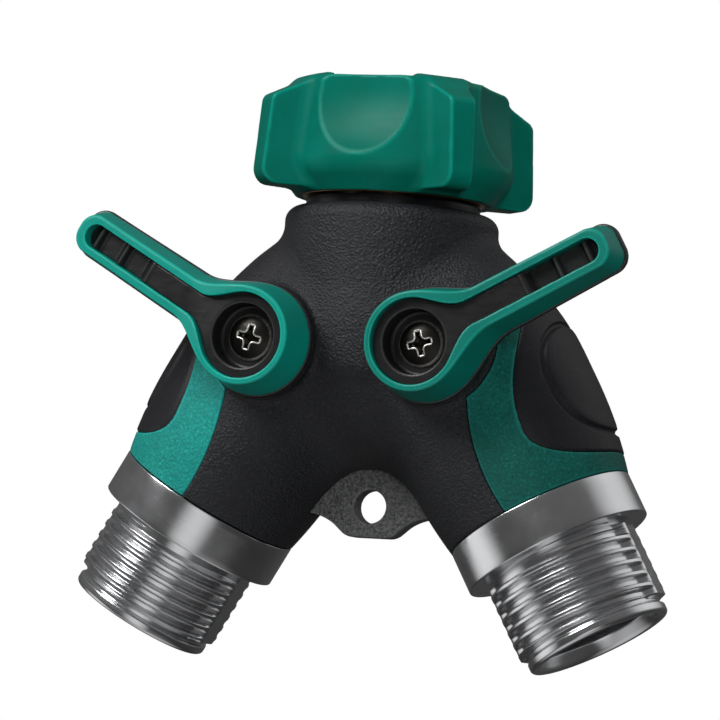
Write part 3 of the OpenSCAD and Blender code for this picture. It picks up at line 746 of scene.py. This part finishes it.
def lathed(name, dark, light, roughness, axis, depth=0.000003, rings=9000.0):
    """Turned metal with fine rings round an axis of the row frame."""
    made, tree, shader = material(name)
    place = add(tree, "ShaderNodeTexCoord").outputs["Object"]
    along = add(tree, "ShaderNodeVectorMath", operation="DOT_PRODUCT")
    tree.links.new(place, along.inputs[0])
    along.inputs[1].default_value = axis
    line = add(tree, "ShaderNodeTexNoise", noise_dimensions="1D", Scale=rings, Detail=4.0, Roughness=0.7)
    tree.links.new(along.outputs["Value"], line.inputs["W"])
    cloud = noise_at(tree, 160, 4.0)
    tint = mixed(tree, span(tree, cloud, 0.3, 0.7, 0, 1), dark, light)
    tree.links.new(tint, shader.inputs["Base Color"])
    haze = product(tree, span(tree, line.outputs["Fac"], 0.3, 0.7, -0.05, 0.06),
                   span(tree, cloud, 0.3, 0.7, roughness - 0.03, roughness + 0.04), "ADD")
    tree.links.new(haze, shader.inputs["Roughness"])
    shader.inputs["Metallic"].default_value = 1.0
    bump(tree, shader, line.outputs["Fac"], depth)
    return made


def screw_steel(name):
    """Black-oxide steel worn bright on its edges."""
    made, tree, shader = material(name)
    scratch = noise_at(tree, 1800, 4.0)
    bare = product(tree, edge_wear_and_highlight_mask(tree), span(tree, scratch, 0.3, 0.6, 0.7, 1.3))
    tint = mixed(tree, bare, (0.025, 0.024, 0.022), (0.9, 0.88, 0.82))
    tree.links.new(tint, shader.inputs["Base Color"])
    tree.links.new(span(tree, scratch, 0.3, 0.7, 0.28, 0.42), shader.inputs["Roughness"])
    shader.inputs["Metallic"].default_value = 0.9
    bump(tree, shader, scratch, 0.00001)
    return made


def coated(name):
    """Cast metal under a rough black coat."""
    made, tree, shader = material(name)
    lumps = noise_at(tree, 1900, 4.0, 0.7)
    pits = add(tree, "ShaderNodeTexVoronoi", Scale=2300)
    tree.links.new(add(tree, "ShaderNodeTexCoord").outputs["Object"], pits.inputs["Vector"])
    tint = mixed(tree, span(tree, lumps, 0.38, 0.62, 0, 1), (0.024, 0.025, 0.026), (0.105, 0.108, 0.105))
    tint = mixed(tree, product(tree, edge_wear_and_highlight_mask(tree), 0.35), tint, (0.16, 0.16, 0.16))
    tree.links.new(tint, shader.inputs["Base Color"])
    tree.links.new(span(tree, lumps, 0.35, 0.65, 0.38, 0.6), shader.inputs["Roughness"])
    bump(tree, shader, product(tree, lumps, pits.outputs["Distance"], "ADD"), 0.00012)
    return made


# The grained materials carry painted shade in their grain valleys and painted glints on their grain.
BLACK_GRIP = grained("black_grip", (0.0095, 0.010, 0.0125), (0.0145, 0.0152, 0.0185), 0.46,
                     grain=2300, depth=0.00022)
PAD_RUBBER = grained("pad_rubber", (0.010, 0.0102, 0.0125), (0.0135, 0.0138, 0.0165), 0.52,
                     grain=3000, depth=0.00004, painted_glint_share=0.2, shine=0.3)
# One green on both sides, painted lit and shaded: the left panel's colour is about three times as bright as the
# right's, and each lighter edge colour is a painted highlight.
GREEN_GRIPS_LIT_AND_SHADED = {
    "left": grained("green_grip_left_painted_light", (0.006, 0.25, 0.215), (0.009, 0.31, 0.27), 0.55,
                    grain=2000, depth=0.00015, edge=(0.03, 0.42, 0.37), painted_glint_share=0.4, shine=0.22),
    "right": grained("green_grip_right_painted_shade", (0.002, 0.080, 0.064), (0.003, 0.108, 0.088), 0.55,
                     grain=2000, depth=0.00015, edge=(0.015, 0.2, 0.165), painted_glint_share=0.4, shine=0.22)}
# One green on both levers, painted lit and shaded: the left lever's colour is about half again as bright as the
# right's, and the edge colours are painted highlights.
GREEN_LEVERS_LIT_AND_SHADED = {
    "left": moulded("green_lever_left_painted_light", (0.001, 0.21, 0.163), (0.0015, 0.25, 0.198), 0.4,
                    (0.015, 0.42, 0.33), shine=0.2),
    "right": moulded("green_lever_right_painted_shade", (0.001, 0.135, 0.104), (0.0015, 0.165, 0.128), 0.38,
                     (0.012, 0.33, 0.26), shine=0.2)}
# The edge colours of the nut, black plastic, chrome and seat materials are painted highlights on their convex
# edges.
GREEN_NUT = moulded("green_nut", (0.0005, 0.120, 0.084), (0.0008, 0.145, 0.106), 0.34,
                    (0.002, 0.30, 0.22), shine=0.07)
BLACK_PLASTIC = moulded("black_plastic", (0.006, 0.006, 0.0065), (0.010, 0.010, 0.0105), 0.34,
                        (0.08, 0.08, 0.08), haze=0.06, edge_highlight_share=0.25)
CAST_COAT = coated("cast_coat")
RIM_METAL = lathed("rim_metal", (0.03, 0.03, 0.032), (0.05, 0.05, 0.052), 0.24, (0, 0, 1))
OUTLET_METALS = [
    lathed(f"outlet_metal_{name}", (0.70, 0.705, 0.72), (0.80, 0.805, 0.82), 0.2,
           (side * LEG_SIN, 0, -LEG_COS), 0.0000012)
    for name, side in SIDES]
BRASS = lathed("brass", (0.60, 0.36, 0.16), (0.74, 0.49, 0.25), 0.3, (0, 0, 1))
STEEL = lathed("plated_steel", (0.52, 0.52, 0.54), (0.66, 0.66, 0.68), 0.22, (0, 0, 1))
BALL_CHROME = moulded("ball_chrome", (0.6, 0.6, 0.62), (0.72, 0.72, 0.73), 0.14, (0.8, 0.8, 0.8),
                      metallic=1.0)
SCREW = screw_steel("screw_steel")
SEAL = grained("seal_rubber", (0.008, 0.008, 0.008), (0.013, 0.013, 0.013), 0.6,
               grain=3000, depth=0.00002, painted_glint_share=0.1)
SEAT = moulded("seat_plastic", (0.72, 0.71, 0.67), (0.8, 0.79, 0.76), 0.4, (0.85, 0.84, 0.82))


# ---- Building ----

def build_body():
    low, high = [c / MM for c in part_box("grip_shell")[0]], [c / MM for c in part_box("grip_shell")[1]]
    field_piece("grip_shell", shell, [c - 1.2 for c in low], [c + 1.2 for c in high], 0.32,
                "manifold", BLACK_GRIP, ["grip_shell"])
    both = ["manifold", "manifold"]
    field_pair("side_panel", panel, (-4, -20, 22), (20, 20, 62), 0.23, both,
               list(GREEN_GRIPS_LIT_AND_SHADED.values()), ["side_panel"])
    field_pair("thumb_pad", pad, (5, -18, 25), (20.5, 18, 60), 0.23, both,
               [PAD_RUBBER, PAD_RUBBER], ["thumb_pad"])


def core_with_passages(x, y, z):
    """Metal body with its waterway and the holes for the stems."""
    rho = np.hypot(x, y)
    holes = np.maximum(rho - TAIL_R, TAIL_END_Z - z)
    holes = np.minimum(holes, np.maximum(rho - TAIL_BORE_R, INLET_BORE_END_Z - z))
    for _, side in SIDES:
        t, w = leg_frame(x, y, z, side)
        bore = np.interp(t, [CHAMBER_T - 0.1, CHAMBER_T, SOCKET_T, SOCKET_T + 0.1],
                         [PORT_R, CHAMBER_R, CHAMBER_R, SOCKET_R])
        holes = np.minimum(holes, np.maximum(np.hypot(w, y) - bore, PORT_T - t))
        stem_hole = np.where(-y < STEM_FLANGE_HIGH, STEM_FLANGE_HOLE_R, STEM_HOLE_R)
        holes = np.minimum(holes, np.maximum(np.hypot(w, t - VALVE_T) - stem_hole, y))
    return np.maximum(core(x, y, z), -holes)


def build_core():
    field_piece("core_casting", core_with_passages, (-45, -20.5, -71), (45, 16, -11), 0.5,
                "manifold", CAST_COAT, ["manifold_core"])
    field_piece("hang_tab", tab, (-14, -3, -69), (14, 3, -44), 0.24,
                "manifold", CAST_COAT, ["manifold_core"])
    rim_r, rim_low_z, rim_z = 15, -12.4, NUT_LOW - 0.35
    ring = dense([(TAIL_R, rim_low_z), (rim_r, rim_low_z), (rim_r, rim_z), (TAIL_R, rim_z)], 1.5, 0.25)
    points, faces = turned(ring, 192)
    new_piece("neck_rim", points, faces, "manifold", RIM_METAL, ["manifold_core"])


def outlet_thread(r, t, angle):
    """Helical thread on the stretch below the collar, with a casting land on two sides."""
    first, last = THREAD_T + 1.2, OUTLET_END_T - 2.6
    share = (t - first) / PITCH - angle / (2 * math.pi)
    fade = ease(0, 1.0, t - first) * ease(0, 1.0, last - t)
    height = thread_height(share, 0.13, 0.33) * fade
    threaded = (np.abs(r - ROOT_R) < 0.02) & (t > THREAD_T + 0.5) & (t < OUTLET_END_T - 1)
    raised = ROOT_R + (CREST_R - ROOT_R) * height
    half_angle = math.acos(LAND_HALF / CREST_R)
    away = np.arcsin(np.clip(np.abs(np.sin(angle)), 0, 1))
    flat = LAND_HALF / np.cos(np.minimum(away, half_angle))
    on_land = ease(half_angle + 0.2, half_angle - 0.03, away) * ease(0.2, 0.5, t - first + 1)
    on_land = on_land * ease(0, 0.5, last + 0.3 - t)
    return np.where(threaded, raised + (flat - raised) * on_land, r)


def build_outlets():
    end, lead_r = OUTLET_END_T, 12.62
    nose_t, nose_r = VALVE_T + SEAT_REACH, CHAMBER_R - 0.1
    plug_r, groove_r, groove = SOCKET_R - GAP, 11.2, (47, 49.2)
    shank = dense([
        (ROOT_R, end - 1.9), (lead_r, end - 1.6), (lead_r, end - 0.4), (12.3, end), (11.1, end),
        (10.75, end - 0.5), (BORE_R, end - 2.2), (BORE_R, 50), (NOSE_BORE_R, 46), (NOSE_BORE_R, nose_t),
        (nose_r, nose_t), (nose_r, SOCKET_T), (plug_r, SOCKET_T), (plug_r, groove[0]),
        (groove_r, groove[0]), (groove_r, groove[1]), (plug_r, groove[1]), (plug_r, COLLAR_T),
        (COLLAR_R, COLLAR_T), (COLLAR_R, THREAD_T), (ROOT_R, THREAD_T)], 1.0, 0.25, closed=False)
    threads = [(ROOT_R, t) for t in np.arange(THREAD_T + 0.3, OUTLET_END_T - 2.2, 0.085)]
    points, faces = turned(threads + shank, 320, outlet_thread)
    points = leg_place(points)
    for (name, side), metal in zip(SIDES, OUTLET_METALS):
        side_points = points * [-side, 1, 1]
        side_faces = faces[:, ::-1] if side > 0 else faces
        new_piece(f"outlet_fitting_{name}", side_points, side_faces, "manifold", metal,
                  [f"outlet_fitting_{name}"])


def inlet_thread(r, z, angle):
    """Helical thread cut inward from the root radius of the nut's insert."""
    first, last = -0.6, NUT_HIGH - 1.4
    share = z / PITCH - angle / (2 * math.pi)
    fade = ease(0, 0.8, z - first) * ease(0, 0.8, last - z)
    height = thread_height(share, 0.12, 0.37) * fade
    raised = INLET_ROOT_R - (INLET_ROOT_R - INLET_CREST_R) * height
    return np.where(np.abs(r - INLET_ROOT_R) < 0.01, raised, r)


def build_inlet():
    rim_low, rim_high, lip_top, top = NUT_LOW - 0.06, NUT_LOW + 0.8, -5.75, NUT_HIGH - 0.5
    lip_r, rim_r, wall_r = TAIL_R + 0.06, 15.7, 15.5
    walls = dense([
        (INLET_ROOT_R, lip_top), (lip_r, lip_top), (lip_r, rim_low), (rim_r, rim_low), (rim_r, rim_high),
        (wall_r, rim_high), (wall_r, top), (14.3, top), (INLET_ROOT_R, top - 0.7)],
        1.2, 0.18, closed=False)
    threads = [(INLET_ROOT_R, z) for z in np.arange(NUT_HIGH - 1.3, lip_top + 0.1, -0.1)]
    points, faces = turned(walls + threads, 288, inlet_thread)
    new_piece("nut_thread_insert", points, faces, "swivel_nut", BRASS, ["nut_thread_insert"])
    reach = NUT_LUG_R + 0.8
    field_piece("nut_grip", nut, (-reach, -reach, NUT_LOW - 0.6), (reach, reach, NUT_HIGH + 0.6), 0.36,
                "swivel_nut", GREEN_NUT, ["nut_grip"])


def build_levers():
    valves = ["valve_left", "valve_right"]
    tip = LEVER_LENGTH + 0.8
    field_pair("lever_shell", lever_shell, (-10.2, -10.2, 20.8), (tip, 10.2, 30), 0.24, valves,
               list(GREEN_LEVERS_LIT_AND_SHADED.values()), ["lever_shell"], valve_place)
    field_pair("lever_base", lever_base, (-10.4, -10.4, 19.8), (tip, 10.4, 21.7), 0.26, valves,
               [BLACK_PLASTIC, BLACK_PLASTIC], ["lever_base"], valve_place)
    field_pair("lever_insert", lever_insert, (-7.8, -7.8, 22.5), (tip, 7.8, 29), 0.2, valves,
               [BLACK_PLASTIC, BLACK_PLASTIC], ["lever_insert"], valve_place)
    field_pair("lever_screw", lever_screw, (-4.5, -4.5, 14), (4.5, 4.5, 26), 0.13, valves,
               [SCREW, SCREW], ["lever_screw"], valve_place)


def dress_cad_nodes():
    """Materials for the CAD nodes that stay visible."""
    kinds = {"inlet_tailpiece": STEEL, "valve_ball": BALL_CHROME, "valve_stem": BRASS,
             "stem_washer": SEAT, "ball_seat": SEAT}
    for name, node in frame["nodes"].items():
        if node.hide_render:
            continue
        found = [made for kind, made in kinds.items() if name.startswith(kind)]
        node.data.materials.clear()
        node.data.materials.append(found[0] if found else SEAL)


# ---- Camera, stage and lights ----

# Soft bright patches of the studio: direction, inner and outer half angle in degrees, brightness
SOFT_PATCHES = (
    ((0.24, -0.94, -0.25), 6, 24, 0.7),
    ((-0.94, -0.2, -0.26), 8, 30, 0.85),
    ((0.63, 0.47, 0.63), 10, 40, 0.6),
    ((0, -0.3, -0.95), 15, 50, 0.5),
)


def build_camera():
    target = Vector((-4.24, 0, -37.4)) * MM
    distance = 0.8
    azimuth, elevation, roll = (math.radians(a) for a in (20.04, -4.38, 3.77))
    toward = Vector((math.sin(azimuth) * math.cos(elevation), -math.cos(azimuth) * math.cos(elevation),
                     math.sin(elevation)))
    data = bpy.data.cameras.new("camera")
    data.lens, data.sensor_width = 232.8, 36
    data.clip_start, data.clip_end = 0.05, 20
    camera = bpy.data.objects.new("camera", data)
    bpy.context.scene.collection.objects.link(camera)
    camera.location = target + toward * distance
    camera.rotation_mode = "QUATERNION"
    camera.rotation_quaternion = toward.to_track_quat("Z", "Y") @ Quaternion((0, 0, 1), roll)
    bpy.context.scene.camera = camera


def plane(name, corners, made):
    mesh = bpy.data.meshes.new(name)
    mesh.from_pydata(corners, [], [(0, 1, 2, 3)])
    mesh.materials.append(made)
    piece = bpy.data.objects.new(name, mesh)
    bpy.context.scene.collection.objects.link(piece)
    piece.visible_glossy = piece.visible_diffuse = False


def lamp(name, at, aim, size, watts, shows=True):
    """Soft lamp; one that doesn't show lights the part without reflecting in it."""
    data = bpy.data.lights.new(name, "AREA")
    data.shape = "RECTANGLE"
    data.size, data.size_y = size
    data.energy = watts
    light = bpy.data.objects.new(name, data)
    bpy.context.scene.collection.objects.link(light)
    light.location = at
    light.rotation_mode = "QUATERNION"
    light.rotation_quaternion = (Vector(at) - Vector(aim)).to_track_quat("Z", "Y")
    light.visible_glossy = shows


def build_floor():
    """Plain pale floor that neither tints the part nor shows in its metal."""
    made, tree, shader = material("pale_stage")
    cloud = noise_at(tree, 3.0, 2.0)
    tree.links.new(mixed(tree, cloud, (0.86, 0.86, 0.86), (0.9, 0.9, 0.9)), shader.inputs["Base Color"])
    shader.inputs["Roughness"].default_value = 0.8
    shader.inputs["Emission Color"].default_value = (1, 1, 1, 1)
    shader.inputs["Emission Strength"].default_value = 0.75
    floor_z = -0.16
    reach = 4.0
    plane("floor", [(-reach, -reach, floor_z), (reach, -reach, floor_z), (reach, reach, floor_z),
                    (-reach, reach, floor_z)], made)


def build_world():
    """White behind the part; for light and reflections, a dim studio with soft patches."""
    world = bpy.data.worlds.new("world")
    world.use_nodes = True
    tree = world.node_tree
    height = add(tree, "ShaderNodeSeparateXYZ")
    sky = add(tree, "ShaderNodeTexCoord").outputs["Generated"]
    tree.links.new(sky, height.inputs[0])
    studio = span(tree, height.outputs["Z"], -0.6, 1.0, 0.035, 0.15)
    for toward, inner, outer, strength in SOFT_PATCHES:
        facing = add(tree, "ShaderNodeVectorMath", operation="DOT_PRODUCT")
        tree.links.new(sky, facing.inputs[0])
        facing.inputs[1].default_value = Vector(toward).normalized()
        edge, full = (math.cos(math.radians(half_angle)) for half_angle in (outer, inner))
        patch = span(tree, facing.outputs["Value"], edge, full, 0, strength)
        studio = product(tree, studio, patch, "ADD")
    white = product(tree, add(tree, "ShaderNodeLightPath").outputs["Is Camera Ray"], studio, "MAXIMUM")
    tree.links.new(white, tree.nodes["Background"].inputs["Strength"])
    tree.nodes["Background"].inputs["Color"].default_value = (1, 1, 1, 1)
    bpy.context.scene.world = world
    bpy.context.scene.view_settings.view_transform = "Standard"


def build_lamps():
    centre = (0, 0, -0.04)
    lamp("key", (-0.42, -0.60, 0.55), centre, (0.45, 0.45), 8)
    lamp("fill", (0.45, -0.7, 0.1), centre, (0.4, 0.5), 3.4, False)
    lamp("low_fill", (0.1, -0.7, -0.35), centre, (0.6, 0.25), 3.5, False)


build_camera()
build_body()
build_core()
build_outlets()
build_inlet()
build_levers()
dress_cad_nodes()
build_floor()
build_world()
build_lamps()
